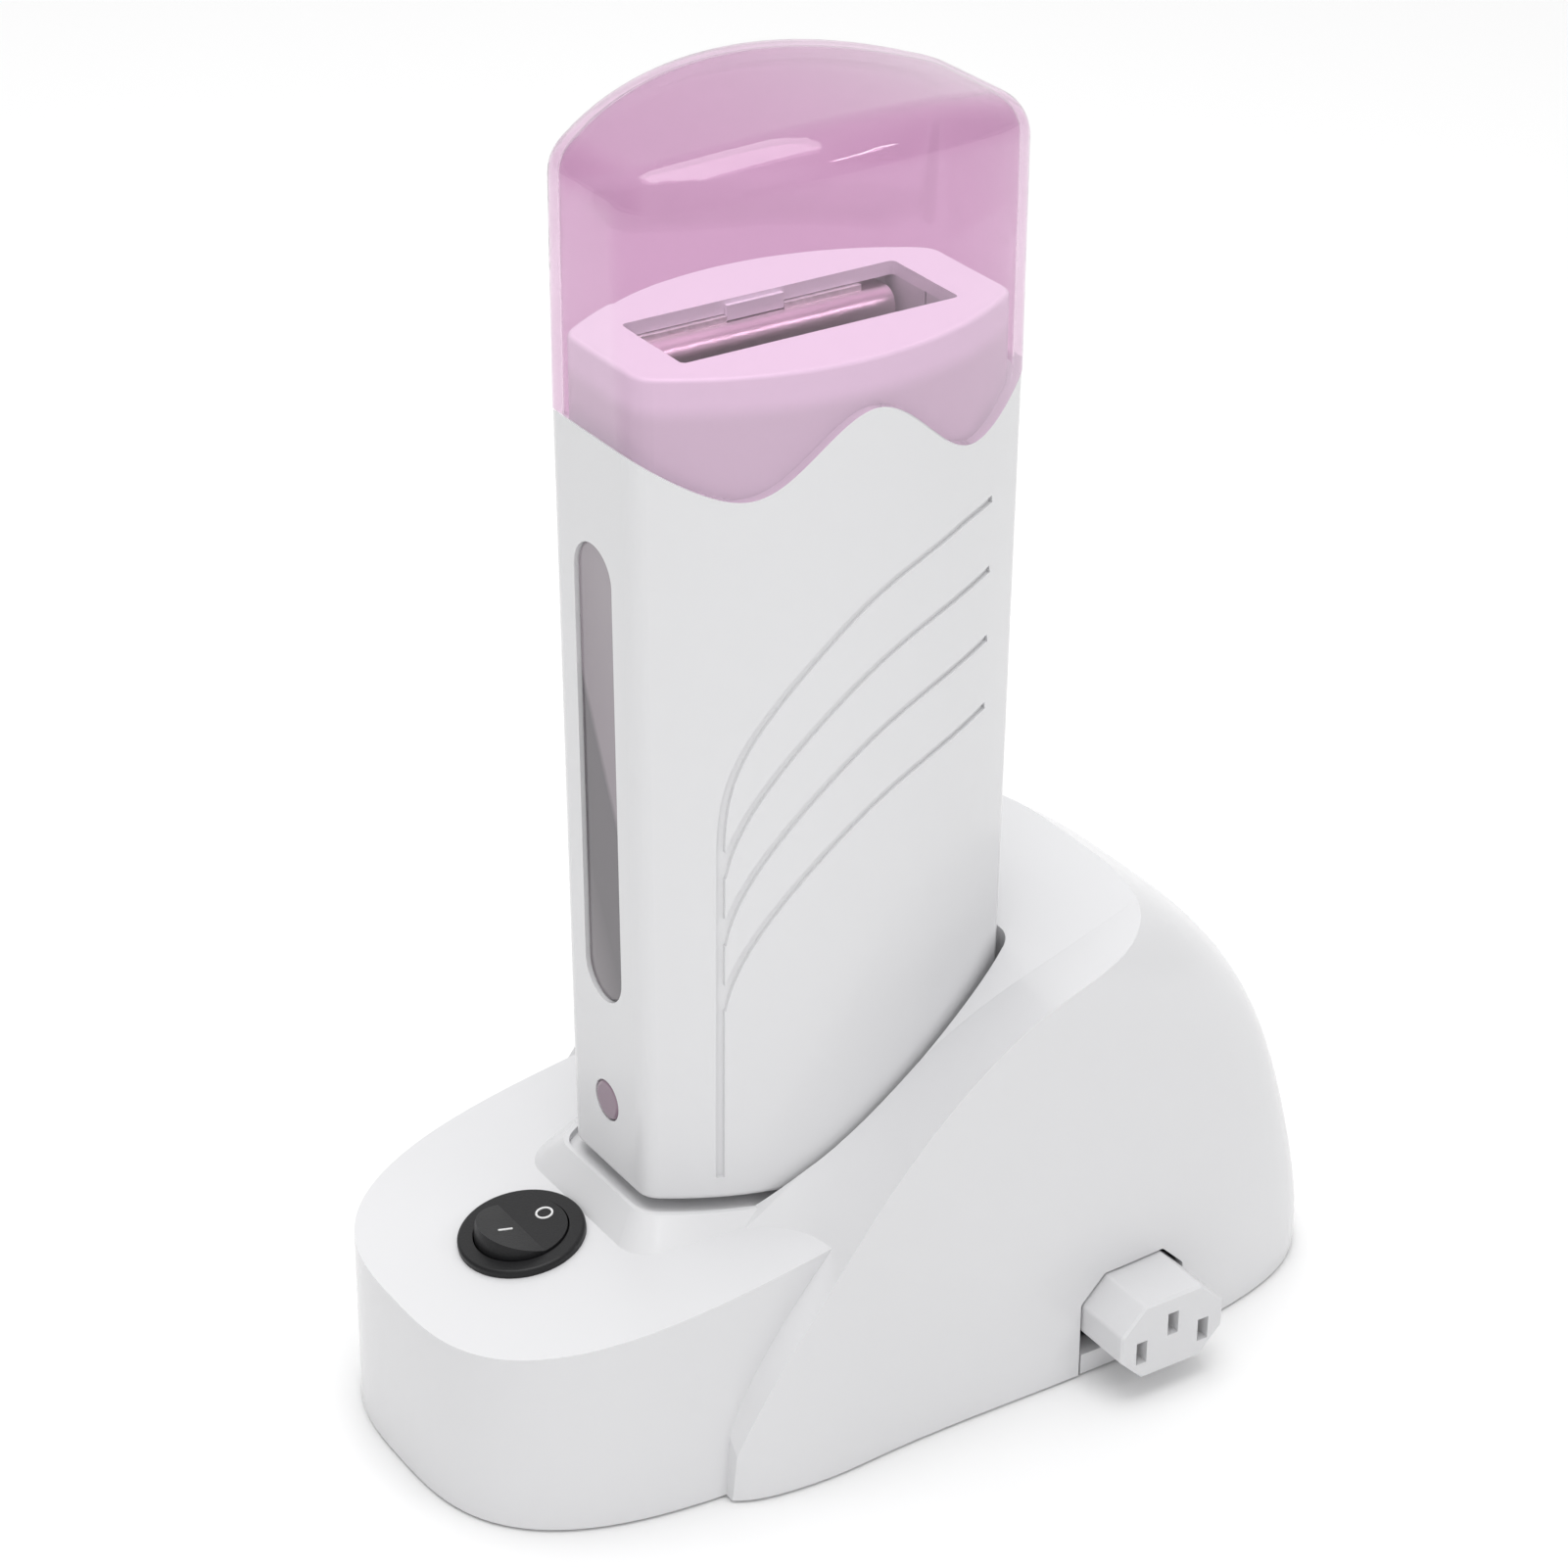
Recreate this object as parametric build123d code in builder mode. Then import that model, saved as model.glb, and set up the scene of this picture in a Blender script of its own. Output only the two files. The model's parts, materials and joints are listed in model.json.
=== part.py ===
from build123d import *

import os
from math import copysign, cos, pi, radians, sin, tan

# Roll-on wax heater: a hand-held cartridge heater with a lift-off cap, standing in a mains dock.
# Millimetres, +Z up. X = 0 is the plane of symmetry, the switch end points to -Y, and the origin lies
# on the floor under the middle of the handset.

# ---------------------------------------------------------------- driving dimensions: dock
GROUND_GAP = 0.6          # lower edge of the housing above the floor; the feet reach down to 0
WALL = 2.5
LOBE_HALF_WIDTH = 40.3    # front lobe, measured at the floor
LOBE_CENTRE_Y = -20.0
LOBE_REACH = 62.0
LOBE_POWER = 3.0
LOBE_DRAFT = 0.3          # how far the lobe's wall leans in over LOBE_TALL
LOBE_TALL = 52.0
DECK_Y = -55.9            # switch centre on the sloping deck
DECK_Z = 39.3
DECK_TILT = 8.6           # degrees, rising to the rear
DECK_EDGE = 5.0
HOOD_CENTRE_Y = -12.0
HOOD_FRONT = 34.0
# One row per level of the hood's dome: height, half width, rear end, squareness of the plan
HOOD_LEVELS = [
    (GROUND_GAP, 45.6, 102.0, 4.5),
    (23.0, 45.4, 100.0, 4.4),
    (44.5, 45.1, 94.2, 4.2),
    (65.0, 44.9, 84.3, 3.8),
    (79.0, 44.7, 71.5, 3.4),
    (90.0, 44.0, 56.0, 3.1),
]
RIDGE_X = 46.0            # the hood's top is ruled from DISH_X out to RIDGE_X
DISH_X = 25.0
HOOD_TOE_Y = -38.2
# Height of the hood's top along Y: beside the slot, and at the outer ridge
TOP_STATIONS = [-37.4, -28.2, -21.0, -8.5, 8.0, 25.0, 45.0, 62.0, 104.0]
DISH_HEIGHTS = [34.0, 41.6, 46.3, 54.0, 64.2, 73.3, 80.2, 86.0, 96.0]
RIDGE_HEIGHTS = [5.0, 29.0, 39.5, 55.0, 71.5, 81.7, 84.6, 86.2, 96.0]
WELL_FLOOR = 45.0
WELL_GAP = 1.3
COLLAR_TOP = 46.2         # low mound that the handset's foot stands out of
COLLAR_SPREAD = 8.0
POSTS = [(-29.0, -48.0), (29.0, -48.0), (-31.0, 70.0), (31.0, 70.0)]
POST_RADIUS = 3.6
SCREW_HOLE = 1.3
SCREW_SHANK = 1.25
COVER_TOP = 3.0
FEET = [(-21.0, -64.0), (21.0, -64.0), (-28.0, 85.0), (28.0, 85.0)]
FOOT_RADIUS = 5.0

# ---------------------------------------------------------------- driving dimensions: switch
SWITCH_HOLE = 10.2
SWITCH_FLANGE = 11.6
FLANGE_THICK = 1.5
ROCKER_RADIUS = 8.5
ROCKER_TILT = 11.0        # degrees each way from level
ROCKER_MIDDLE = 1.0       # height of the V's bottom above the pivot
PIVOT_LIFT = 0.9          # pivot above the deck, along its normal

# ---------------------------------------------------------------- driving dimensions: dock contacts
BLOCK_X = 12.0
BLOCK_Y = 26.0
BLOCK_TOP = 47.1
CONTACT_PITCH = 12.0
CONTACT_TIP_Z = 53.0

# ---------------------------------------------------------------- driving dimensions: mains connectors
PLUG_Y = 47.5
PLUG_WIDTH = 23.2
PLUG_HEIGHT = 15.9
PLUG_MID_Z = 13.1
PLUG_CORNER = 5.2
OUTLET_FACE_X = 57.1
OUTLET_ROOT_X = 38.0
SLOT_PITCH = 14.0         # line to neutral
SLOT_DROP = -2.0          # line and neutral below the middle of the face
EARTH_RISE = 2.0
INLET_MOUTH_X = -45.4
INLET_DEPTH = 16.5
INLET_WALL = 2.0
INLET_BACK_X = -27.4

# ---------------------------------------------------------------- driving dimensions: handset and cap
HANDSET_BOTTOM = 47.4
RIM_Z = 204.1
BODY_LOW = (37.8, 12.2, 24.8)    # half length, half width of the flat end, half thickness, at the bottom
BODY_HIGH = (39.2, 12.8, 25.7)   # the same at the rim's level
NECK = (36.6, 11.4, 23.9)
CORNER = 5.0
SHELL_WALL = 2.4
NECK_WALL = 2.2
MOUTH_HALF_X = 9.8
MOUTH_HALF_Y = 27.1
NECK_START_Z = 178.0
# The wavy shoulder where the cap's edge meets the body: crest in the middle, trough either side
WAVE = [(0.0, 195.8), (11.0, 189.5), (22.0, 182.9), (30.5, 185.4), (41.5, 193.0)]
CAP_GAP = 0.25
CAP_OUT = 0.05            # cap stands this far proud of the body
CAP_FLARE = 0.6           # the cap's walls widen by this much over their height
CAP_WALL = 1.6
CAP_TOP = 244.0
CAP_ARCH_DROP = 3.5       # fall of the arch at CAP_ARCH_Y
CAP_ARCH_Y = 28.0
CAP_LOW = 170.0           # levels between which the cap's plan is drawn, corners softening upwards
CAP_HIGH = 250.0
CAP_CORNER = 11.0
CAP_EDGE = 8.0
WINDOW_LOW = 82.9
WINDOW_HIGH = 171.2
WINDOW_HALF = 6.1
LENS_Z = 61.9
LENS_RADIUS = 3.9
LENS_DEPTH = 3.0
WINDOW_RECESS = 0.7
GROOVE_WIDTH = 1.4
GROOVE_DEPTH = 0.6
GROOVE_PITCH = 13.2
STEM_Y = -26.2
CHAMBER_FLOOR = 76.0
CHUTE_X = 12.7            # inside half width of the cartridge shaft, taken up by the heater plates
CHUTE_WALL = 1.7
TUNNEL = (18.0, 92.0, 184.0)     # opening in the shaft's wide sides: half length, lower and upper end
PLATE_HALF_Y = 25.0
PLATE_TOP = 201.4
STRIP_END = 20.0          # the far plate's top strip stops here; its nose runs on
FAR_FACE_X = -5.9
NEAR_FACE_X = 9.6
NOSE_RADIUS = 3.0
TAB = (-7.0, 4.5)         # tab under the rim between the two ends of the far plate's top strip
SCREWS_YZ = [(31.0, 66.0), (31.0, 165.0), (-31.0, 172.0)]
SOCKET_X = 13.0
SOCKET_Y = 27.0
SOCKET_TOP = 58.0

os.makedirs("parts", exist_ok=True)


def save(builder, name):
    """Label a finished piece and write it to its own file."""
    builder.part.label = name
    export_step(builder.part, f"parts/{name}.step")


# ---------------------------------------------------------------- shared outlines
def egg(level, half_width, centre_y, front, rear, power, steps=7):
    """Closed superellipse plan with its own reach to the front and to the rear."""
    points = []
    for i in range(4 * steps):
        turn = 2 * pi * i / (4 * steps)
        across = copysign(abs(cos(turn)) ** (2 / power), cos(turn))
        along = copysign(abs(sin(turn)) ** (2 / power), sin(turn))
        points.append((half_width * across, centre_y + (rear if along > 0 else front) * along))
    with BuildSketch(Plane.XY.offset(level)) as plan:
        with BuildLine():
            Spline(*points, periodic=True)
        make_face()
    return plan.sketch


def lobe_outline(level, inset):
    lean = LOBE_DRAFT * (level - GROUND_GAP) / LOBE_TALL
    reach = LOBE_REACH - inset - lean
    return egg(level, LOBE_HALF_WIDTH - inset - lean, LOBE_CENTRE_Y, reach, reach, LOBE_POWER)


def hood_outline(row, inset):
    level, half_width, rear, power = row
    return egg(level, half_width - inset, HOOD_CENTRE_Y, HOOD_FRONT - inset,
               rear - inset - HOOD_CENTRE_Y, power)


def deck_plane(lift=0.0, turn=0.0):
    """Plane of the sloping deck, centred on the switch, local x across and local y uphill."""
    tilt = radians(DECK_TILT)
    origin = (0, DECK_Y - lift * sin(tilt), DECK_Z + lift * cos(tilt))
    return Plane(origin=origin, x_dir=(1, 0, 0), z_dir=(0, -sin(tilt), cos(tilt))).rotated((turn, 0, 0))


def body_size(level):
    """Handset half length, flat-end half width and half thickness at a height."""
    share = (level - HANDSET_BOTTOM) / (RIM_Z - HANDSET_BOTTOM)
    return [low + (high - low) * share for low, high in zip(BODY_LOW, BODY_HIGH)]


def barrel(level, size, grow=0.0, corner=CORNER):
    """Handset plan: two flat narrow ends joined by two bowed faces."""
    half_length, end_half, mid_half = [value + grow for value in size]
    with BuildSketch(Plane.XY.offset(level)) as plan:
        with BuildLine():
            Line((-end_half, -half_length), (end_half, -half_length))
            ThreePointArc((end_half, -half_length), (mid_half, 0), (end_half, half_length))
            Line((end_half, half_length), (-end_half, half_length))
            ThreePointArc((-end_half, half_length), (-mid_half, 0), (-end_half, -half_length))
        make_face()
        fillet(plan.vertices(), corner + grow / 2)
    return plan.sketch


def barrel_solid(low, high, grow=0.0):
    """Tapering handset form between two heights, grown outwards by grow."""
    with BuildPart() as form:
        loft([barrel(low, body_size(low), grow), barrel(high, body_size(high), grow)])
    return form.part


def neck_solid(low, high, grow=0.0):
    with BuildPart() as form:
        add(barrel(low, NECK, grow))
        extrude(amount=high - low)
    return form.part


def under_wave(drop, grow=0.0):
    """Everything below the wavy shoulder, lowered by drop."""
    reach = WAVE[-1][0] + grow
    wave = [(y, z - drop) for y, z in WAVE]
    points = [(-y, z) for y, z in reversed(wave[1:])] + wave
    with BuildPart() as form:
        with BuildSketch(Plane.YZ.offset(-40)):
            with BuildLine():
                Spline(*points)
                Polyline(points[-1], (reach + 8, points[-1][1]), (reach + 8, 20), (-reach - 8, 20),
                         (-reach - 8, points[0][1]), points[0])
            make_face()
        extrude(amount=80)
    return form.part


# ---------------------------------------------------------------- dock: shared forms
def top_profile(x, heights, drop):
    """Side view of what lies under the hood's top at one distance from the middle."""
    points = [(y + drop, z - drop) for y, z in zip(TOP_STATIONS, heights)]
    toe = (HOOD_TOE_Y + drop, GROUND_GAP - 1)
    with BuildSketch(Plane.YZ.offset(x)) as profile:
        with BuildLine():
            Line(toe, points[0])
            Spline(*points)
            Polyline(points[-1], (points[-1][0], GROUND_GAP - 1), toe)
        make_face()
    return profile.sketch


def dock_form(inset):
    """Outer form of the dock, or its hollow when inset by the wall."""
    with BuildPart() as lobe:
        loft([lobe_outline(GROUND_GAP, inset), lobe_outline(GROUND_GAP + LOBE_TALL, inset)])
        split(bisect_by=deck_plane(-inset), keep=Keep.BOTTOM)
        if not inset:
            fillet(lobe.faces().sort_by(Axis.Z)[-1].edges(), DECK_EDGE)
    with BuildPart() as under_top:
        add(top_profile(-DISH_X, DISH_HEIGHTS, inset))
        extrude(amount=2 * DISH_X, dir=(1, 0, 0))
        loft([top_profile(DISH_X, DISH_HEIGHTS, inset), top_profile(RIDGE_X, RIDGE_HEIGHTS, inset)],
             ruled=True)
        loft([top_profile(-RIDGE_X, RIDGE_HEIGHTS, inset), top_profile(-DISH_X, DISH_HEIGHTS, inset)],
             ruled=True)
    with BuildPart() as form:
        loft([hood_outline(row, inset) for row in HOOD_LEVELS])
        add(under_top.part, mode=Mode.INTERSECT)
        add(lobe.part)
    return form.part


# ---------------------------------------------------------------- dock: housing
outer_form = dock_form(0)
hollow_form = dock_form(WALL)
well_form = barrel_solid(WELL_FLOOR, 120, WELL_GAP)
well_walls = barrel_solid(WELL_FLOOR - WALL, 120, WELL_GAP + 2.2)
with BuildPart() as collar:
    loft([barrel(DECK_Z, body_size(COLLAR_TOP), COLLAR_SPREAD),
          barrel(COLLAR_TOP, body_size(COLLAR_TOP), WELL_GAP + 0.8)])


def plug_outline(x, grow):
    """Appliance connector outline: a rectangle with its two upper corners cut off."""
    half_width, half_height = PLUG_WIDTH / 2 + grow, PLUG_HEIGHT / 2 + grow
    with BuildSketch(Plane.YZ.offset(x)) as outline:
        with Locations((PLUG_Y, PLUG_MID_Z)):
            Rectangle(2 * half_width, 2 * half_height)
        chamfer(outline.vertices().group_by(Axis.Z)[-1], PLUG_CORNER)
        fillet(outline.vertices(), 1.2)
    return outline.sketch


def post_pair(points, radius, low, high):
    """Round posts or holes at the given plan positions."""
    with BuildPart() as posts:
        with BuildSketch(Plane.XY.offset(low)):
            with Locations(*points):
                Circle(radius)
        extrude(amount=high - low)
    return posts.part


with BuildPart() as hollow:
    add(hollow_form)
    add(well_walls, mode=Mode.SUBTRACT)
    add(post_pair(POSTS, POST_RADIUS, COVER_TOP, 100), mode=Mode.SUBTRACT)

with BuildPart() as base_shell:
    add(outer_form)
    add(collar.part)
    add(hollow.part, mode=Mode.SUBTRACT)
    add(well_form, mode=Mode.SUBTRACT)
    add(post_pair(POSTS, SCREW_HOLE, COVER_TOP - 1, 16), mode=Mode.SUBTRACT)
    # Round hole for the switch, and a slot in the well's floor for the contact block
    with BuildSketch(deck_plane(-12)):
        Circle(SWITCH_HOLE)
    extrude(amount=20, mode=Mode.SUBTRACT)
    with BuildSketch(Plane.XY.offset(WELL_FLOOR - 2 * WALL)):
        RectangleRounded(BLOCK_X + 0.4, BLOCK_Y + 0.4, 2)
    extrude(amount=3 * WALL, mode=Mode.SUBTRACT)
    # Outlet notch, open at the bottom, and the inlet's hole on the other side
    add(plug_outline(30, 0.5))
    extrude(amount=25, dir=(1, 0, 0), mode=Mode.SUBTRACT)
    with BuildSketch(Plane.XY):
        with Locations((42, PLUG_Y)):
            Rectangle(20, PLUG_WIDTH + 1)
    extrude(amount=PLUG_MID_Z, mode=Mode.SUBTRACT)
    add(plug_outline(-55, INLET_WALL + 0.2))
    extrude(amount=25, dir=(1, 0, 0), mode=Mode.SUBTRACT)
save(base_shell, "base_shell")

with BuildPart() as base_cover:
    add(lobe_outline(GROUND_GAP, WALL + 0.25))
    with BuildSketch(Plane.XY.offset(GROUND_GAP)):
        add(hood_outline(HOOD_LEVELS[0], WALL + 0.25))
        with Locations((0, HOOD_TOE_Y + WALL + 0.5 - 50)):
            Rectangle(120, 100, mode=Mode.SUBTRACT)
    extrude(amount=COVER_TOP - GROUND_GAP, dir=(0, 0, 1))
    # Tab that closes the notch under the outlet
    with BuildSketch(Plane.XY.offset(GROUND_GAP)):
        with Locations((42.6, PLUG_Y)):
            Rectangle(4.8, PLUG_WIDTH - 0.2)
    extrude(amount=PLUG_MID_Z - PLUG_HEIGHT / 2 - 0.3 - GROUND_GAP)
    add(post_pair(FEET, FOOT_RADIUS + 0.1, 0, 1.6), mode=Mode.SUBTRACT)
    add(post_pair(POSTS, 1.7, 0, 4), mode=Mode.SUBTRACT)
    add(post_pair(POSTS, 3.4, 0, 1.6), mode=Mode.SUBTRACT)
    # Cooling slots under the contact block
    with BuildSketch(Plane.XY):
        with GridLocations(0, 6, 1, 7):
            SlotOverall(26, 2.2)
    extrude(amount=4, mode=Mode.SUBTRACT)
save(base_cover, "base_cover")

with BuildPart() as rubber_feet:
    add(post_pair(FEET, FOOT_RADIUS, 0, 1.6))
    chamfer(rubber_feet.edges().group_by(Axis.Z)[0], 0.4)
save(rubber_feet, "rubber_feet")

with BuildPart() as cover_screws:
    add(post_pair(POSTS, 2.9, 0.7, 1.6))
    add(post_pair(POSTS, SCREW_SHANK, 1.6, 13))
save(cover_screws, "cover_screws")

# ---------------------------------------------------------------- dock: round rocker switch
with BuildPart() as switch_body:
    with BuildSketch(deck_plane()):
        Circle(SWITCH_FLANGE)
    extrude(amount=FLANGE_THICK)
    fillet(switch_body.edges().group_by(Axis.Z)[-1], 0.6)
    with BuildSketch(deck_plane(-16)):
        Circle(SWITCH_HOLE - 0.1)
    extrude(amount=16)
    with BuildSketch(deck_plane(-7)):
        Circle(ROCKER_RADIUS + 0.25)
    extrude(amount=12, mode=Mode.SUBTRACT)
save(switch_body, "switch_body")

# The rocker is a slice of a ball about its pivot, with two faces that meet in a shallow V
pivot_plane = deck_plane(PIVOT_LIFT, -ROCKER_TILT)
with BuildPart() as switch_rocker:
    with BuildSketch(pivot_plane):
        Circle(ROCKER_RADIUS)
    extrude(amount=4, both=True)
    with BuildPart(mode=Mode.PRIVATE) as ball:
        with Locations(pivot_plane):
            Sphere(ROCKER_RADIUS)
    add(ball.part, mode=Mode.INTERSECT)
    with BuildSketch(Plane(origin=pivot_plane.origin, x_dir=pivot_plane.y_dir, z_dir=pivot_plane.x_dir)):
        rise = ROCKER_RADIUS * tan(radians(ROCKER_TILT))
        with BuildLine():
            Polyline((-9, ROCKER_MIDDLE + rise), (0, ROCKER_MIDDLE), (9, ROCKER_MIDDLE + rise), (9, 12),
                     (-9, 12), (-9, ROCKER_MIDDLE + rise))
        make_face()
    extrude(amount=12, both=True, mode=Mode.SUBTRACT)
save(switch_rocker, "switch_rocker")

with BuildPart() as switch_terminals:
    with BuildSketch(deck_plane(-24)):
        with GridLocations(0, 7, 1, 2):
            Rectangle(4.8, 0.8)
    extrude(amount=8)
save(switch_terminals, "switch_terminals")

# ---------------------------------------------------------------- dock: contact block
def contact_pins(z_low, z_high, size_x, size_y, shift=0.0):
    """Two upright blades in line along Y."""
    with BuildPart() as pins:
        with BuildSketch(Plane.XY.offset(z_low)):
            for side in (-1, 1):
                with Locations((0, side * (CONTACT_PITCH / 2 + shift))):
                    Rectangle(size_x, size_y)
        extrude(amount=z_high - z_low)
    return pins.part


with BuildPart() as dock_connector:
    with BuildSketch(Plane.XY.offset(WELL_FLOOR - WALL - 2.5)):
        RectangleRounded(BLOCK_X + 6, BLOCK_Y + 6, 2)
    extrude(amount=2.4)
    with BuildSketch(Plane.XY.offset(WELL_FLOOR - WALL - 2.5)):
        RectangleRounded(BLOCK_X, BLOCK_Y, 1.8)
    extrude(amount=BLOCK_TOP - WELL_FLOOR + WALL + 2.5)
    fillet(dock_connector.edges().group_by(Axis.Z)[-1], 0.5)
    add(contact_pins(30, 60, 4, 1), mode=Mode.SUBTRACT)
save(dock_connector, "dock_connector")

with BuildPart() as dock_pins:
    add(contact_pins(36, CONTACT_TIP_Z, 4, 1))
    chamfer(dock_pins.edges().group_by(Axis.Z)[-1].filter_by(Axis.X), 0.35)
save(dock_pins, "dock_pins")


# ---------------------------------------------------------------- dock: mains outlet and inlet
def blade_holes(x, width, height):
    """Line, neutral and earth outlines on a connector's face."""
    with BuildSketch(Plane.YZ.offset(x)) as holes:
        for side in (-1, 1):
            with Locations((PLUG_Y + side * SLOT_PITCH / 2, PLUG_MID_Z + SLOT_DROP)):
                Rectangle(width, height)
        with Locations((PLUG_Y, PLUG_MID_Z + EARTH_RISE)):
            Rectangle(width, height)
    return holes.sketch


with BuildPart() as outlet_body:
    add(plug_outline(OUTLET_ROOT_X, 0))
    extrude(amount=OUTLET_FACE_X - OUTLET_ROOT_X, dir=(1, 0, 0))
    chamfer(outlet_body.edges().group_by(Axis.X)[-1], 0.5)
    add(blade_holes(OUTLET_ROOT_X, 2.4, 4.8))
    extrude(amount=30, dir=(1, 0, 0), mode=Mode.SUBTRACT)
save(outlet_body, "outlet_body")

with BuildPart() as outlet_contacts:
    add(blade_holes(OUTLET_ROOT_X - 4, 2.4, 4.0))
    extrude(amount=18, dir=(1, 0, 0))
    add(blade_holes(OUTLET_ROOT_X + 2, 1.5, 5.0))
    extrude(amount=18, dir=(1, 0, 0), mode=Mode.SUBTRACT)
save(outlet_contacts, "outlet_contacts")

with BuildPart() as inlet_pins:
    add(blade_holes(INLET_MOUTH_X + 2, 2.0, 4.0))
    extrude(amount=INLET_BACK_X + 3.4 - INLET_MOUTH_X - 2, dir=(1, 0, 0))
save(inlet_pins, "inlet_pins")

with BuildPart() as inlet_body:
    add(plug_outline(INLET_MOUTH_X, INLET_WALL))
    extrude(amount=INLET_BACK_X - INLET_MOUTH_X, dir=(1, 0, 0))
    add(plug_outline(INLET_MOUTH_X - 1, 0.4))
    extrude(amount=INLET_DEPTH, dir=(1, 0, 0), mode=Mode.SUBTRACT)
    add(inlet_pins.part, mode=Mode.SUBTRACT)
save(inlet_body, "inlet_body")

# Wires between inlet, switch, outlet and contact block
LINE_Y = PLUG_Y - SLOT_PITCH / 2
NEUTRAL_Y = PLUG_Y + SLOT_PITCH / 2
WIRE_Z = PLUG_MID_Z + SLOT_DROP
WIRE_START_X = INLET_BACK_X + 3.4
terminal_low = deck_plane(-24).from_local_coords((0, -3.5, 0))
terminal_high = deck_plane(-24).from_local_coords((0, 3.5, 0))
WIRE_ROUTES = [
    [(WIRE_START_X, LINE_Y, WIRE_Z), (-8, LINE_Y, WIRE_Z), (-8, terminal_low.Y, 8),
     (0, terminal_low.Y, 8), (0, terminal_low.Y, terminal_low.Z)],
    [(0, terminal_high.Y, terminal_high.Z), (0, terminal_high.Y, 8), (8, terminal_high.Y, 8),
     (8, -6, 8), (0, -6, 16), (0, -6, 36)],
    [(WIRE_START_X, NEUTRAL_Y, WIRE_Z), (0, NEUTRAL_Y, WIRE_Z), (0, 6, 16), (0, 6, 36)],
    [(WIRE_START_X, LINE_Y, WIRE_Z), (OUTLET_ROOT_X - 4, LINE_Y, WIRE_Z)],
    [(WIRE_START_X, NEUTRAL_Y, WIRE_Z), (OUTLET_ROOT_X - 4, NEUTRAL_Y, WIRE_Z)],
]


def wire(route, radius, bend=3.0):
    """Round wire along a route with rounded bends."""
    with BuildPart() as strand:
        with BuildLine() as path:
            if len(route) > 2:
                FilletPolyline(*route, radius=bend)
            else:
                Line(*route)
        with BuildSketch(Plane(origin=path.line @ 0, z_dir=path.line % 0)):
            Circle(radius)
        sweep()
    return strand.part


with BuildPart() as mains_wires:
    for route in WIRE_ROUTES:
        add(wire(route, 1.2))
save(mains_wires, "mains_wires")


# ---------------------------------------------------------------- handset: shared forms
def facet_plane(level, lift=0.0):
    """Plane of the narrow flat end that faces -Y, local y pointing up."""
    lean = (BODY_HIGH[0] - BODY_LOW[0]) / (RIM_Z - HANDSET_BOTTOM)
    return Plane(origin=(0, -body_size(level)[0] - lift, level), x_dir=(1, 0, 0), z_dir=(0, -1, -lean))


def window_plug(low, high, grow):
    """Stadium on the narrow end, between two depths measured outwards from its face."""
    middle = (WINDOW_LOW + WINDOW_HIGH) / 2
    with BuildPart() as plug:
        with BuildSketch(facet_plane(middle, low)):
            SlotOverall(WINDOW_HIGH - WINDOW_LOW + 2 * grow, 2 * (WINDOW_HALF + grow), rotation=90)
        extrude(amount=high - low)
    return plug.part


def lens_plug(low, high, radius):
    with BuildPart() as plug:
        with BuildSketch(facet_plane(LENS_Z, low)):
            Circle(radius)
        extrude(amount=high - low)
    return plug.part


def box(x_range, y_range, z_range):
    with BuildPart() as block:
        with Locations(tuple(sum(limits) / 2 for limits in (x_range, y_range, z_range))):
            Box(*[limits[1] - limits[0] for limits in (x_range, y_range, z_range)])
    return block.part


def shaft_form(half_x, half_y, low, high, corner):
    with BuildPart() as form:
        with BuildSketch(Plane.XY.offset(low)):
            RectangleRounded(2 * half_x, 2 * half_y, corner)
        extrude(amount=high - low)
    return form.part


def cross_pins(x_low, x_high, radius):
    """Round bars along X at the handset's screw places."""
    with BuildPart() as bars:
        with BuildSketch(Plane.YZ.offset(x_low)):
            with Locations(*SCREWS_YZ):
                Circle(radius)
        extrude(amount=x_high - x_low, dir=(1, 0, 0))
    return bars.part


# ---------------------------------------------------------------- handset: decorative grooves
GROOVE_CURVE = [(-26.0, 113.0), (-23.5, 121.4), (-18.1, 130.7), (-8.3, 141.6), (4.7, 150.7),
                (17.8, 155.1), (28.6, 157.0)]
with BuildPart() as grooves:
    for step in range(4):
        shift = GROOVE_PITCH * (1 - step)
        curve = [(y, z + shift) for y, z in GROOVE_CURVE]
        with BuildSketch(Plane.YZ.offset(-35)):
            with BuildLine():
                if step == 0:
                    # The outermost groove runs straight down to form the stem
                    stem_top = (STEM_Y, curve[0][1] - 8)
                    Line((STEM_Y, 52), stem_top)
                    Spline(stem_top, *curve[1:], tangents=[(0, 1), (1, 0.12)])
                else:
                    Spline(*curve)
            trace(line_width=GROOVE_WIDTH)
        extrude(amount=70, dir=(1, 0, 0))
    add(barrel_solid(40, 210, -GROOVE_DEPTH), mode=Mode.SUBTRACT)

# ---------------------------------------------------------------- handset: shell
with BuildPart() as inner_space:
    add(barrel_solid(HANDSET_BOTTOM + WALL, NECK_START_Z, -SHELL_WALL))
    add(neck_solid(NECK_START_Z - 1, RIM_Z - WALL, -NECK_WALL))
    # What stays solid inside: the screw bosses, clear of the cartridge shaft
    with BuildPart(mode=Mode.PRIVATE) as bosses:
        add(cross_pins(-30, 30, 2.8))
        add(shaft_form(CHUTE_X + CHUTE_WALL + 3, MOUTH_HALF_Y + CHUTE_WALL + 0.1, 40, RIM_Z, 2),
            mode=Mode.SUBTRACT)
    add(bosses.part, mode=Mode.SUBTRACT)

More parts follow.
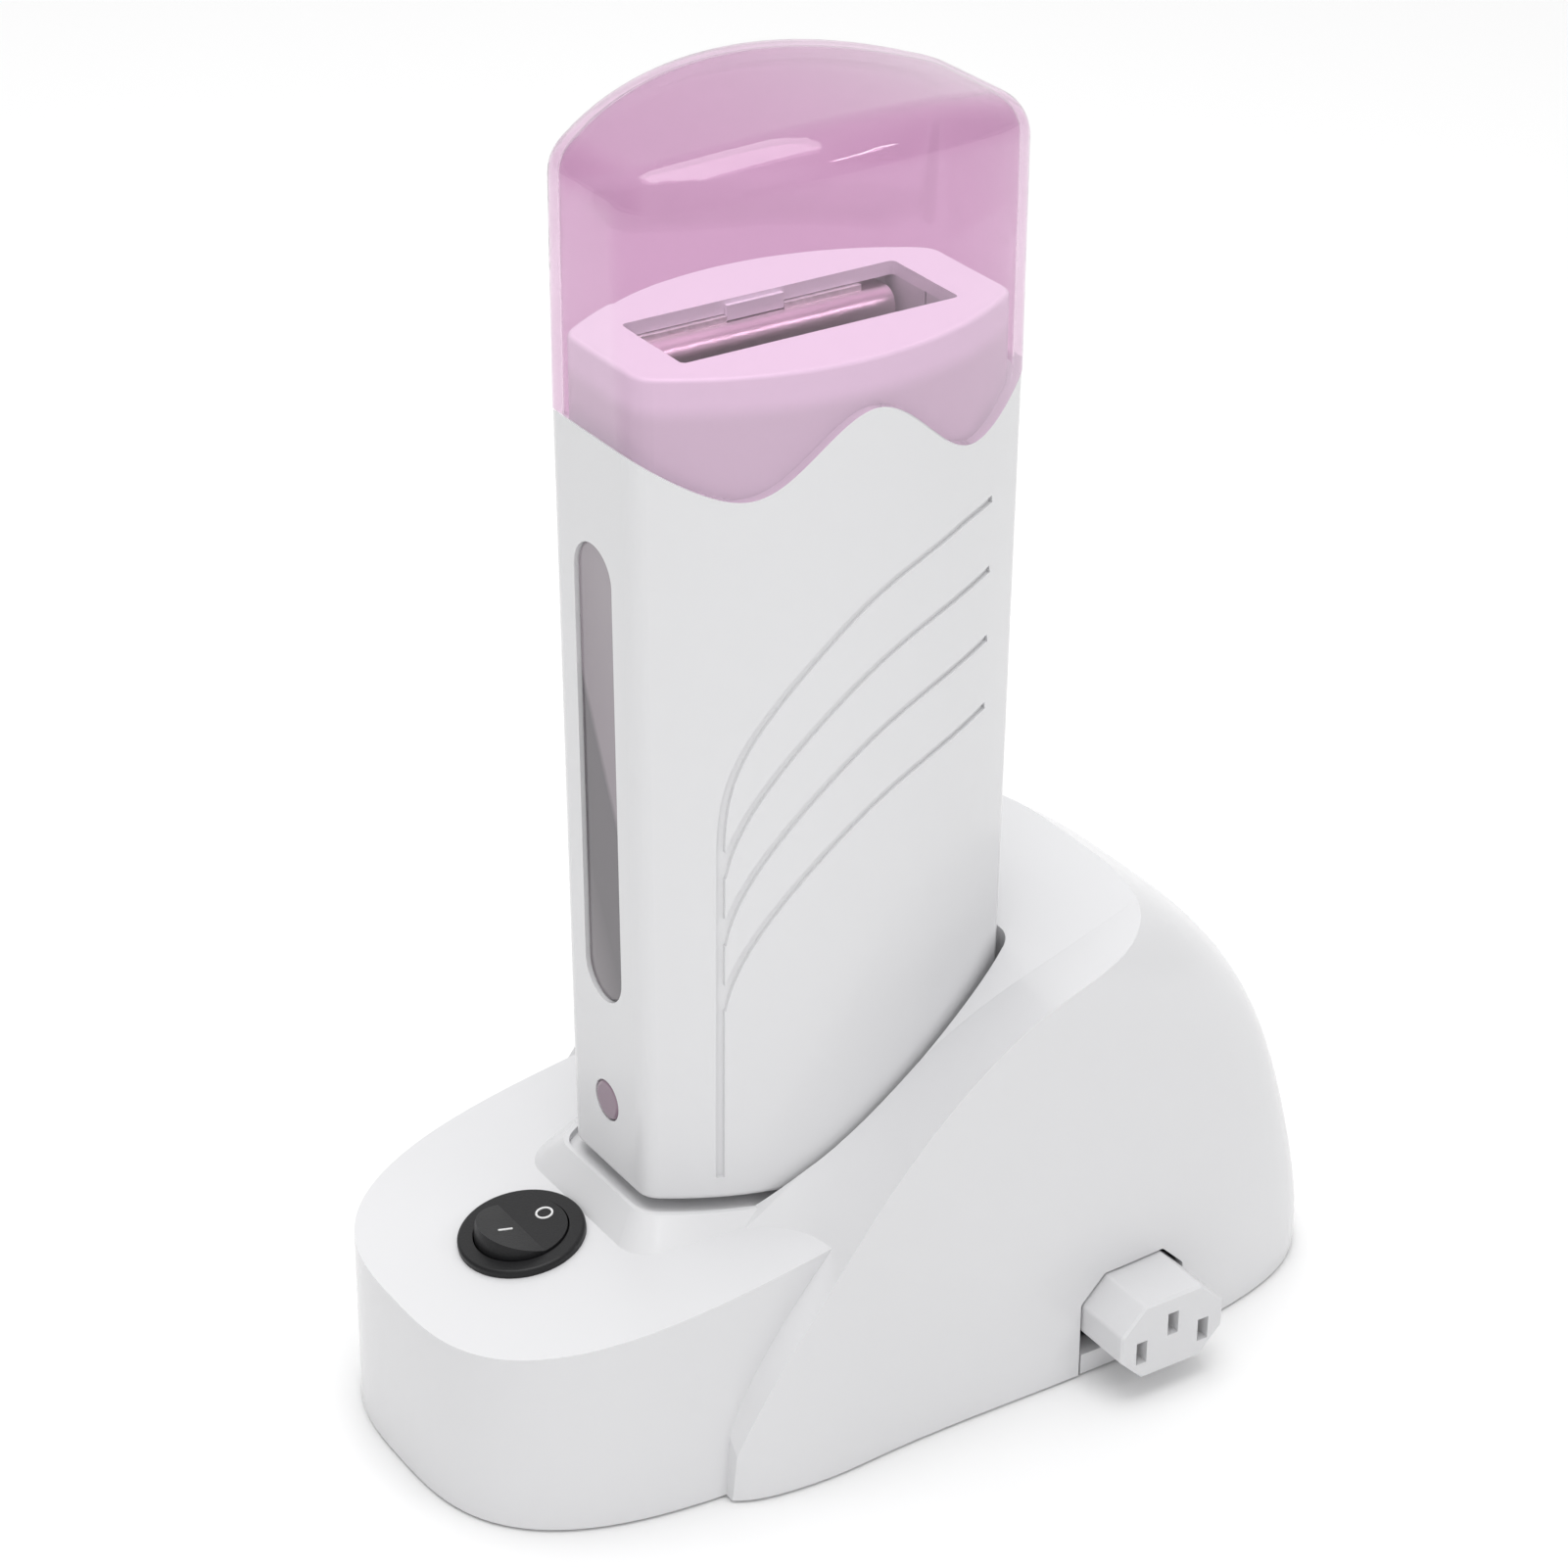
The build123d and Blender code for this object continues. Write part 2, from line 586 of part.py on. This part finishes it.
with BuildPart() as handset_form:
    add(barrel_solid(HANDSET_BOTTOM, RIM_Z))
    fillet(handset_form.edges().group_by(Axis.Z)[0], 1.0)
    add(under_wave(0), mode=Mode.INTERSECT)
    add(neck_solid(170, RIM_Z))
    fillet(handset_form.edges().group_by(Axis.Z)[-1], 0.8)
    add(grooves.part, mode=Mode.SUBTRACT)
    add(inner_space.part, mode=Mode.SUBTRACT)
    add(shaft_form(MOUTH_HALF_X, MOUTH_HALF_Y, RIM_Z - 2 * WALL, RIM_Z + 1, 1), mode=Mode.SUBTRACT)
    add(window_plug(-4, 2, 0), mode=Mode.SUBTRACT)
    add(lens_plug(-4, 2, LENS_RADIUS + 0.05), mode=Mode.SUBTRACT)
    add(box((-SOCKET_X / 2, SOCKET_X / 2), (-SOCKET_Y / 2, SOCKET_Y / 2), (40, 52)), mode=Mode.SUBTRACT)
    add(cross_pins(-25, 14, SCREW_HOLE), mode=Mode.SUBTRACT)
    add(cross_pins(-25, -8, 2.2), mode=Mode.SUBTRACT)

with BuildPart() as handset_shell_right:
    add(handset_form.part)
    split(bisect_by=Plane.YZ, keep=Keep.TOP)
save(handset_shell_right, "handset_shell_right")

with BuildPart() as handset_shell_left:
    add(handset_form.part)
    split(bisect_by=Plane.YZ, keep=Keep.BOTTOM)
    # Tab that locates the far heater plate under the rim
    add(box((-MOUTH_HALF_X - 1, -9.0), (TAB[0] + 0.1, TAB[1] - 0.1), (PLATE_TOP - 0.8, 203.3)))
save(handset_shell_left, "handset_shell_left")

with BuildPart() as cartridge_shaft:
    add(shaft_form(CHUTE_X + CHUTE_WALL, MOUTH_HALF_Y + CHUTE_WALL, CHAMBER_FLOOR - 3, RIM_Z - WALL, 2))
    # The upper corners are trimmed to the inside of the neck
    add(inner_space.part, mode=Mode.INTERSECT)
    add(shaft_form(CHUTE_X, MOUTH_HALF_Y, CHAMBER_FLOOR - 4, RIM_Z, 1), mode=Mode.SUBTRACT)
    add(box((-16, 16), (-TUNNEL[0], TUNNEL[0]), TUNNEL[1:]), mode=Mode.SUBTRACT)
    # Parting slot down the middle of each end wall
    add(box((-0.25, 0.25), (-40, 40), (TUNNEL[1], RIM_Z)), mode=Mode.SUBTRACT)
save(cartridge_shaft, "cartridge_shaft")

with BuildPart() as handset_screws:
    add(cross_pins(-10.2, -8, 2.1))
    add(cross_pins(-8, 12, SCREW_SHANK))
save(handset_screws, "handset_screws")

# ---------------------------------------------------------------- handset: window and indicator
with BuildPart() as level_window:
    add(window_plug(-SHELL_WALL - 0.1, -WINDOW_RECESS, -0.05))
    fillet(level_window.faces().sort_by(Axis.Y)[0].edges(), 0.5)
    add(window_plug(-SHELL_WALL - 1.2, -SHELL_WALL - 0.05, 1.2))
save(level_window, "level_window")

with BuildPart() as indicator_lens:
    add(lens_plug(-LENS_DEPTH, 0.1, LENS_RADIUS - 0.02))
    fillet(indicator_lens.faces().sort_by(Axis.Y)[0].edges(), 0.9)
    add(lens_plug(-LENS_DEPTH - 0.8, -SHELL_WALL - 0.05, LENS_RADIUS + 1))
save(indicator_lens, "indicator_lens")

with BuildPart() as indicator_led:
    add(lens_plug(-7.8, -LENS_DEPTH - 1.0, 2.4))
save(indicator_led, "indicator_led")

board_y = -body_size(LENS_Z)[0] + 8
with BuildPart() as control_board:
    add(box((-11, 11), (board_y, board_y + 1.6), (52, 72)))
    for part_x, part_z, width, height, depth in ((-5, 68, 7, 5, 2), (6, 68, 5, 6, 3), (5, 56, 8, 4, 2.5)):
        add(box((part_x - width / 2, part_x + width / 2), (board_y + 1.6, board_y + 1.6 + depth),
                (part_z - height / 2, part_z + height / 2)))
save(control_board, "control_board")

# ---------------------------------------------------------------- handset: heating chamber
with BuildPart() as heater_plate_far:
    with BuildSketch(Plane.XZ.offset(PLATE_HALF_Y)):
        nose_x = FAR_FACE_X - NOSE_RADIUS
        nose_z = PLATE_TOP - 1.0 - NOSE_RADIUS
        with BuildLine():
            Polyline((FAR_FACE_X, nose_z), (FAR_FACE_X, CHAMBER_FLOOR), (-CHUTE_X, CHAMBER_FLOOR),
                     (-CHUTE_X, PLATE_TOP), (nose_x, PLATE_TOP), (nose_x, PLATE_TOP - 1.0))
            RadiusArc((nose_x, PLATE_TOP - 1.0), (FAR_FACE_X, nose_z), NOSE_RADIUS)
        make_face()
    extrude(amount=2 * PLATE_HALF_Y, dir=(0, 1, 0))
    for gap in (TAB, (STRIP_END, PLATE_HALF_Y)):
        add(box((-CHUTE_X - 1, FAR_FACE_X), gap, (PLATE_TOP - 1, PLATE_TOP + 1)), mode=Mode.SUBTRACT)
save(heater_plate_far, "heater_plate_far")

with BuildPart() as heater_plate_near:
    add(box((NEAR_FACE_X, CHUTE_X), (-PLATE_HALF_Y, PLATE_HALF_Y), (CHAMBER_FLOOR, PLATE_TOP)))
save(heater_plate_near, "heater_plate_near")

with BuildPart() as chamber_floor:
    add(shaft_form(CHUTE_X - 0.05, MOUTH_HALF_Y - 0.05, CHAMBER_FLOOR - 2, CHAMBER_FLOOR, 1))
save(chamber_floor, "chamber_floor")

with BuildPart() as ptc_elements:
    for side in (-1, 1):
        add(box(sorted((side * CHUTE_X, side * (CHUTE_X + 3))), (-12, 12), (125, 160)))
save(ptc_elements, "ptc_elements")

with BuildPart() as thermostat:
    with BuildSketch(Plane.YZ.offset(CHUTE_X)):
        with Locations((0, 108)):
            Circle(6)
    extrude(amount=5, dir=(1, 0, 0))
save(thermostat, "thermostat")

# ---------------------------------------------------------------- handset: contacts
with BuildPart() as contact_socket:
    add(box((-SOCKET_X / 2, SOCKET_X / 2), (-SOCKET_Y / 2, SOCKET_Y / 2), (HANDSET_BOTTOM, SOCKET_TOP)))
    add(box((-SOCKET_X / 2 - 2, SOCKET_X / 2 + 2), (-SOCKET_Y / 2 - 2, SOCKET_Y / 2 + 2),
            (HANDSET_BOTTOM + WALL, HANDSET_BOTTOM + WALL + 2)))
    add(contact_pins(40, 70, 4.8, 2.2, 0.3), mode=Mode.SUBTRACT)
save(contact_socket, "contact_socket")

with BuildPart() as contact_blades:
    add(contact_pins(HANDSET_BOTTOM + 1, SOCKET_TOP + 4, 4, 0.6, 1.1))
save(contact_blades, "contact_blades")

with BuildPart() as heater_leads:
    for side in (-1, 1):
        blade_y = side * (CONTACT_PITCH / 2 + 1.1)
        lead_x = side * (CHUTE_X + CHUTE_WALL + 0.7)
        add(wire([(lead_x, 8 * side, 125), (lead_x, 8 * side, 68),
                  (0, blade_y, 68), (0, blade_y, SOCKET_TOP + 4)], 0.5, 2.0))
save(heater_leads, "heater_leads")


# ---------------------------------------------------------------- cap
def cap_form(inset):
    """Arched dome over the handset's plan, or its hollow when inset."""
    top = CAP_TOP - inset
    end = BODY_HIGH[0] + 4
    fall = CAP_ARCH_DROP * (end / CAP_ARCH_Y) ** 2
    with BuildPart() as form:
        loft([barrel(CAP_LOW, BODY_HIGH, CAP_OUT - inset),
              barrel(CAP_HIGH, BODY_HIGH, CAP_OUT + CAP_FLARE - inset, CAP_CORNER - inset / 2)])
        with BuildPart(mode=Mode.PRIVATE) as under_arch:
            with BuildSketch(Plane.YZ.offset(-40)):
                with BuildLine():
                    ThreePointArc((-end, top - fall), (0, top), (end, top - fall))
                    Polyline((end, top - fall), (end, CAP_LOW - 5), (-end, CAP_LOW - 5), (-end, top - fall))
                make_face()
            extrude(amount=80, dir=(1, 0, 0))
        add(under_arch.part, mode=Mode.INTERSECT)
        rim = [edge for edge in form.edges() if edge.bounding_box().min.Z > CAP_LOW + 30]
        fillet(rim, CAP_EDGE - inset)
    return form.part


with BuildPart() as cap:
    add(cap_form(0))
    add(cap_form(CAP_WALL), mode=Mode.SUBTRACT)
    add(under_wave(-CAP_GAP), mode=Mode.SUBTRACT)
save(cap, "cap")
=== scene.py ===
import json
from math import cos, pi, radians, sin

import bpy
from mathutils import Matrix, Vector


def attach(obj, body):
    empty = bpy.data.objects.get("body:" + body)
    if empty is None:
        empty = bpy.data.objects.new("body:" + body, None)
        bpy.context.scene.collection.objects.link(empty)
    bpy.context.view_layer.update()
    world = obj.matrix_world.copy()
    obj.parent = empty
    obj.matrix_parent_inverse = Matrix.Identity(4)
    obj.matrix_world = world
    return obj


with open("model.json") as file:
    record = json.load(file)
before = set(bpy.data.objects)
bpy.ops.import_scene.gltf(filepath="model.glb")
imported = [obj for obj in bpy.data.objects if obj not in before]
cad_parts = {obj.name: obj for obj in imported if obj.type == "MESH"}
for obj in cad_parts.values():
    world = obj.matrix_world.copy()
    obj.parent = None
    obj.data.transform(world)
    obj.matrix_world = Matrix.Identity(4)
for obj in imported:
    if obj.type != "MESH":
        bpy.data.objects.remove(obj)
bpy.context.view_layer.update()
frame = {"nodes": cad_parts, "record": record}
nodes = frame["nodes"]

# ------------------------------------------------------------------ driving values
# The product shot: turn from -Y towards +X, climb above level, roll, lens and place of the camera
SHOT_TURN, SHOT_CLIMB, SHOT_ROLL = radians(57.09), radians(28.60), radians(0.30)
SHOT_LENS, SHOT_SENSOR = 95.33, 36
SHOT_PLACE = Vector((0.53781, -0.34892, 0.46427))
SHOT_ACROSS = Vector((cos(SHOT_TURN), sin(SHOT_TURN), 0))       # level direction to the shot's right

FRONT_GLOW, SIDE_GLOW = 0.89, 0.30      # strength of the surroundings ahead of the shot and beside it
FLOOR_WHITE = 0.93
HANDSET_WHITE = (0.77, 0.77, 0.782)
NECK_PAINTED_LIGHT_FROM, NECK_PAINTED_LIGHT_FULL = 0.196, 0.200     # painted light: the neck under the cap is painted whiter than the body, standing in for light that reaches it through the cap
SAWN_LEVEL = 0.2004                     # the heater plate's sawn strip starts here
WAX_LEVELS = (0.080, 0.175)             # heights that the window's colour ramp runs between
WAX_SLOPE = 2.4                         # rise of the wax line per unit across the window


# ------------------------------------------------------------------ camera
def add_camera():
    """Camera at the product shot's angle: from the switch end's right, above, long lens."""
    forward = Vector((-sin(SHOT_TURN) * cos(SHOT_CLIMB), cos(SHOT_TURN) * cos(SHOT_CLIMB), -sin(SHOT_CLIMB)))
    level_up = SHOT_ACROSS.cross(forward)
    right = SHOT_ACROSS * cos(SHOT_ROLL) + level_up * sin(SHOT_ROLL)
    up = level_up * cos(SHOT_ROLL) - SHOT_ACROSS * sin(SHOT_ROLL)
    camera = bpy.data.objects.new("camera", bpy.data.cameras.new("camera"))
    bpy.context.scene.collection.objects.link(camera)
    camera.data.lens = SHOT_LENS
    camera.data.sensor_width = SHOT_SENSOR
    camera.data.clip_start, camera.data.clip_end = 0.05, 20
    place = Matrix((right, up, -forward)).transposed().to_4x4()
    place.translation = SHOT_PLACE
    camera.matrix_world = place
    bpy.context.scene.camera = camera


add_camera()


# ------------------------------------------------------------------ stage and light
def area_light(name, place, target, size, power):
    """White rectangular softbox that faces a target."""
    light = bpy.data.lights.new(name, "AREA")
    light.shape = "RECTANGLE"
    light.size, light.size_y = size
    light.energy = power
    lamp = bpy.data.objects.new(name, light)
    bpy.context.scene.collection.objects.link(lamp)
    lamp.location = place
    aim = Vector(target) - Vector(place)
    lamp.rotation_euler = aim.to_track_quat("-Z", "Y").to_euler()


def studio_world():
    """White surroundings that fall off towards the left and the right of the shot."""
    world = bpy.data.worlds.new("studio")
    world.use_nodes = True
    tree = world.node_tree
    background = tree.nodes["Background"]
    direction = tree.nodes.new("ShaderNodeTexCoord")
    across = tree.nodes.new("ShaderNodeVectorMath")
    across.operation = "DOT_PRODUCT"
    across.inputs[1].default_value = SHOT_ACROSS
    size = tree.nodes.new("ShaderNodeMath")
    size.operation = "ABSOLUTE"
    fall = tree.nodes.new("ShaderNodeMapRange")
    fall.interpolation_type = "SMOOTHSTEP"
    fall.inputs["From Min"].default_value = 0.35
    fall.inputs["From Max"].default_value = 0.95
    fall.inputs["To Min"].default_value = FRONT_GLOW
    fall.inputs["To Max"].default_value = SIDE_GLOW
    tree.links.new(direction.outputs["Generated"], across.inputs[0])
    tree.links.new(across.outputs["Value"], size.inputs[0])
    tree.links.new(size.outputs["Value"], fall.inputs["Value"])
    tree.links.new(fall.outputs["Result"], background.inputs["Strength"])
    background.inputs["Color"].default_value = (1, 1, 1, 1)
    return world


def add_stage():
    """White floor, the surroundings and a neutral view."""
    bpy.ops.mesh.primitive_plane_add(size=12, location=(0, 0, 0))
    floor = bpy.context.object
    floor.name = "floor"
    material = bpy.data.materials.new("floor")
    material.use_nodes = True
    shader = material.node_tree.nodes["Principled BSDF"]
    shader.inputs["Base Color"].default_value = (FLOOR_WHITE, FLOOR_WHITE, FLOOR_WHITE, 1)
    shader.inputs["Roughness"].default_value = 0.7
    floor.data.materials.append(material)
    bpy.context.scene.world = studio_world()
    bpy.context.scene.view_settings.view_transform = "Standard"


add_stage()
area_light("overhead", (0.0, -0.1, 1.6), (0, 0, 0.05), (1.4, 1.0), 13.0)
area_light("strip", (1.17, 0.72, 1.04), (0, 0, 0.2), (0.7, 0.05), 1.6)


# ------------------------------------------------------------------ materials
def principled(name, colour, roughness, **values):
    """Material with one shader; further values are set on its own sockets."""
    material = bpy.data.materials.new(name)
    material.use_nodes = True
    shader = material.node_tree.nodes["Principled BSDF"]
    shader.inputs["Base Color"].default_value = (*colour, 1)
    shader.inputs["Roughness"].default_value = roughness
    for key, value in values.items():
        shader.inputs[key.replace("_", " ")].default_value = value
    return material


def grain(material, scale, strength, rough_low, rough_high, detail=4.0):
    """Moulded-plastic surface: fine bump, and roughness that drifts across the piece."""
    tree = material.node_tree
    shader = tree.nodes["Principled BSDF"]
    place = tree.nodes.new("ShaderNodeTexCoord")
    fine = tree.nodes.new("ShaderNodeTexNoise")
    fine.inputs["Scale"].default_value = scale
    fine.inputs["Detail"].default_value = detail
    broad = tree.nodes.new("ShaderNodeTexNoise")
    broad.inputs["Scale"].default_value = scale / 40
    bump = tree.nodes.new("ShaderNodeBump")
    bump.inputs["Strength"].default_value = strength
    bump.inputs["Distance"].default_value = 0.0002
    spread = tree.nodes.new("ShaderNodeMapRange")
    spread.inputs["To Min"].default_value = rough_low
    spread.inputs["To Max"].default_value = rough_high
    tree.links.new(place.outputs["Object"], fine.inputs["Vector"])
    tree.links.new(place.outputs["Object"], broad.inputs["Vector"])
    tree.links.new(fine.outputs["Fac"], bump.inputs["Height"])
    tree.links.new(bump.outputs["Normal"], shader.inputs["Normal"])
    tree.links.new(broad.outputs["Fac"], spread.inputs["Value"])
    tree.links.new(spread.outputs["Result"], shader.inputs["Roughness"])
    return material


def sawn_above(material, level, colour):
    """Metal above the given height is pale and marked by the saw; the rest keeps its finish."""
    tree = material.node_tree
    shader = tree.nodes["Principled BSDF"]
    place = tree.nodes.new("ShaderNodeTexCoord")
    split = tree.nodes.new("ShaderNodeSeparateXYZ")
    streaks = tree.nodes.new("ShaderNodeTexNoise")
    streaks.inputs["Scale"].default_value = 1400
    streaks.inputs["Detail"].default_value = 6.0
    ramp = tree.nodes.new("ShaderNodeMapRange")
    ramp.inputs["From Min"].default_value = 0.35
    ramp.inputs["From Max"].default_value = 0.65
    ramp.inputs["To Min"].default_value = 0.35
    above = tree.nodes.new("ShaderNodeMath")
    above.operation = "GREATER_THAN"
    above.inputs[1].default_value = level
    share = tree.nodes.new("ShaderNodeMath")
    share.operation = "MULTIPLY"
    mix = tree.nodes.new("ShaderNodeMix")
    mix.data_type = "RGBA"
    mix.inputs["A"].default_value = shader.inputs["Base Color"].default_value
    mix.inputs["B"].default_value = (*colour, 1)
    tree.links.new(place.outputs["Object"], streaks.inputs["Vector"])
    tree.links.new(place.outputs["Object"], split.inputs["Vector"])
    tree.links.new(streaks.outputs["Fac"], ramp.inputs["Value"])
    tree.links.new(split.outputs["Z"], above.inputs[0])
    tree.links.new(above.outputs["Value"], share.inputs[0])
    tree.links.new(ramp.outputs["Result"], share.inputs[1])
    tree.links.new(share.outputs["Value"], mix.inputs["Factor"])
    tree.links.new(mix.outputs["Result"], shader.inputs["Base Color"])
    # Saw marks scatter light, so the strip is hardly metallic to the eye
    sheen = tree.nodes.new("ShaderNodeMapRange")
    sheen.inputs["To Min"].default_value = 1.0
    sheen.inputs["To Max"].default_value = 0.15
    tree.links.new(share.outputs["Value"], sheen.inputs["Value"])
    tree.links.new(sheen.outputs["Result"], shader.inputs["Metallic"])
    return material


WHITE = grain(principled("white_gloss", (0.74, 0.74, 0.752), 0.3), 900, 0.02, 0.16, 0.26)
SATIN = grain(principled("white_satin", (0.70, 0.70, 0.712), 0.5), 1500, 0.15, 0.42, 0.55)
BLACK = grain(
    principled("black_satin", (0.012, 0.012, 0.013), 0.45, Specular_IOR_Level=0.3), 2500, 0.2, 0.32, 0.46)
BRASS = grain(principled("brass", (0.72, 0.52, 0.22), 0.3, Metallic=1.0), 700, 0.1, 0.22, 0.4)
STEEL = grain(principled("steel", (0.58, 0.58, 0.6), 0.3, Metallic=1.0), 900, 0.15, 0.25, 0.42)
RUBBER = grain(principled("rubber", (0.05, 0.05, 0.052), 0.8), 1800, 0.4, 0.7, 0.9)
WIRE = grain(principled("wire", (0.45, 0.06, 0.04), 0.45), 1200, 0.1, 0.4, 0.55)
BOARD = grain(principled("board", (0.04, 0.22, 0.1), 0.4), 1200, 0.2, 0.35, 0.5)
CERAMIC = grain(principled("ceramic", (0.3, 0.28, 0.27), 0.7), 1500, 0.3, 0.6, 0.8)
LED = principled("led", (0.6, 0.08, 0.08), 0.15)
ALUMINIUM = sawn_above(
    grain(principled("aluminium", (0.80, 0.77, 0.76), 0.3, Metallic=1.0), 1100, 0.25, 0.22, 0.4),
    SAWN_LEVEL, (0.93, 0.92, 0.91))
SMOKE = principled("smoke", (0.30, 0.25, 0.30), 0.12)
ROSE = principled("rose", (0.31, 0.225, 0.28), 0.15)
PINK = principled("pink", (0.77, 0.56, 0.715), 0.03, Transmission_Weight=1.0, IOR=1.04,
                  Coat_Weight=1.0, Coat_IOR=1.5, Coat_Roughness=0.04)

FINISH = {
    "white_gloss": WHITE, "white_matte": SATIN, "grey_rubber": RUBBER, "steel": STEEL,
    "black_plastic": BLACK, "brass": BRASS, "wire_cover": WIRE, "smoky_window": SMOKE,
    "rose_lens": ROSE, "led_red": LED, "green_board": BOARD, "aluminium": ALUMINIUM,
    "ptc_ceramic": CERAMIC, "pink_cap": PINK,
}
for entry in frame["record"]["subparts"]:
    cad = nodes[entry["node"]]
    cad.data.materials.clear()
    cad.data.materials.append(FINISH[entry["material_slot"]])

# The cap lets the studio's light through to the neck inside it
nodes["cap"].visible_diffuse = False
nodes["cap"].visible_shadow = False


def lighter_above(material, low, high, colour):
    """The base colour turns to another one between two heights of the object."""
    tree = material.node_tree
    shader = tree.nodes["Principled BSDF"]
    place = tree.nodes.new("ShaderNodeTexCoord")
    split = tree.nodes.new("ShaderNodeSeparateXYZ")
    share = tree.nodes.new("ShaderNodeMapRange")
    share.interpolation_type = "SMOOTHSTEP"
    share.inputs["From Min"].default_value = low
    share.inputs["From Max"].default_value = high
    mix = tree.nodes.new("ShaderNodeMix")
    mix.data_type = "RGBA"
    mix.inputs["A"].default_value = shader.inputs["Base Color"].default_value
    mix.inputs["B"].default_value = (*colour, 1)
    tree.links.new(place.outputs["Object"], split.inputs["Vector"])
    tree.links.new(split.outputs["Z"], share.inputs["Value"])
    tree.links.new(share.outputs["Result"], mix.inputs["Factor"])
    tree.links.new(mix.outputs["Result"], shader.inputs["Base Color"])
    return material


def window_material():
    """Smoky window: paler above the wax line, with a curved boundary."""
    material = principled("smoke_window", (0.3, 0.26, 0.3), 0.1, Coat_Weight=0.3)
    tree = material.node_tree
    shader = tree.nodes["Principled BSDF"]
    place = tree.nodes.new("ShaderNodeTexCoord")
    split = tree.nodes.new("ShaderNodeSeparateXYZ")
    tree.links.new(place.outputs["Object"], split.inputs["Vector"])
    # Height of the wax line rises towards one side of the window
    curve = tree.nodes.new("ShaderNodeMath")
    curve.operation = "MULTIPLY_ADD"
    curve.inputs[1].default_value = WAX_SLOPE
    tree.links.new(split.outputs["X"], curve.inputs[0])
    tree.links.new(split.outputs["Z"], curve.inputs[2])
    ramp = tree.nodes.new("ShaderNodeValToRGB")
    share = tree.nodes.new("ShaderNodeMapRange")
    share.inputs["From Min"].default_value, share.inputs["From Max"].default_value = WAX_LEVELS
    tree.links.new(curve.outputs["Value"], share.inputs["Value"])
    tree.links.new(share.outputs["Result"], ramp.inputs["Fac"])
    stops = [(0.0, (0.18, 0.16, 0.175)), (0.2, (0.10, 0.088, 0.10)), (0.52, (0.11, 0.095, 0.11)),
             (0.56, (0.27, 0.23, 0.26)), (0.8, (0.31, 0.27, 0.30)), (1.0, (0.35, 0.31, 0.34))]
    first, last = ramp.color_ramp.elements
    first.position, first.color = stops[0][0], (*stops[0][1], 1)
    last.position, last.color = stops[-1][0], (*stops[-1][1], 1)
    for position, colour in stops[1:-1]:
        ramp.color_ramp.elements.new(position).color = (*colour, 1)
    tree.links.new(ramp.outputs["Color"], shader.inputs["Base Color"])
    return material


# Painted light: the handset's base colour turns whiter from the neck up, standing in for light let through
# the cap onto the neck
NECK_PAINTED_LIGHT = lighter_above(
    grain(principled("white_handset_painted_neck_light", HANDSET_WHITE, 0.3), 900, 0.02, 0.16, 0.26),
    NECK_PAINTED_LIGHT_FROM, NECK_PAINTED_LIGHT_FULL, (0.94, 0.92, 0.96))
for name in ("handset_shell_left", "handset_shell_right"):
    nodes[name].data.materials[0] = NECK_PAINTED_LIGHT
nodes["level_window"].data.materials[0] = window_material()


# ------------------------------------------------------------------ switch marks
PIVOT = next(Vector(joint["pos_m"]) for joint in frame["record"]["behaviour"]["joints"]
             if joint["name"] == "rocker_tilt")
DECK_TILT, ROCKER_TILT = radians(8.6), radians(11.0)
ROCKER_MIDDLE = 0.0010


def rocker_face(side, across, along):
    """Point on a rocker half: side -1 is the front half, +1 the rear one, along is measured from the V."""
    turn = DECK_TILT - ROCKER_TILT
    face = turn + ROCKER_TILT * side
    base_y, base_z = -sin(turn) * ROCKER_MIDDLE, cos(turn) * ROCKER_MIDDLE
    return PIVOT + Vector((across, base_y + cos(face) * along * side, base_z + sin(face) * along * side))


def mark_curve(name, points, closed, width):
    """Printed mark: a thin ribbon that follows points on the rocker's face."""
    curve = bpy.data.curves.new(name, "CURVE")
    curve.dimensions = "3D"
    curve.bevel_depth = width / 2
    curve.bevel_resolution = 3
    curve.use_fill_caps = not closed
    spline = curve.splines.new("POLY")
    spline.points.add(len(points) - 1)
    for point, place in zip(spline.points, points):
        point.co = (*place, 1)
    spline.use_cyclic_u = closed
    mark = bpy.data.objects.new(name, curve)
    bpy.context.scene.collection.objects.link(mark)
    curve.materials.append(MARK)
    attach(mark, "rocker")
    return mark


MARK = grain(principled("mark_white", (0.85, 0.85, 0.85), 0.5), 1500, 0.1, 0.45, 0.6)
MARK_WIDTH = 0.00042
DASH_HALF, DASH_ALONG = 0.00145, 0.0034
RING_RADIUS, RING_ACROSS, RING_ALONG, RING_STEPS = 0.00145, -0.0008, 0.0052, 48
dash = [rocker_face(-1, 0, DASH_ALONG + step) for step in (-DASH_HALF, DASH_HALF)]
mark_curve("mark_on", dash, False, MARK_WIDTH)
ring = [rocker_face(1, RING_ACROSS + RING_RADIUS * cos(turn), RING_ALONG + RING_RADIUS * sin(turn))
        for turn in [2 * pi * i / RING_STEPS for i in range(RING_STEPS)]]
mark_curve("mark_off", ring, True, MARK_WIDTH)
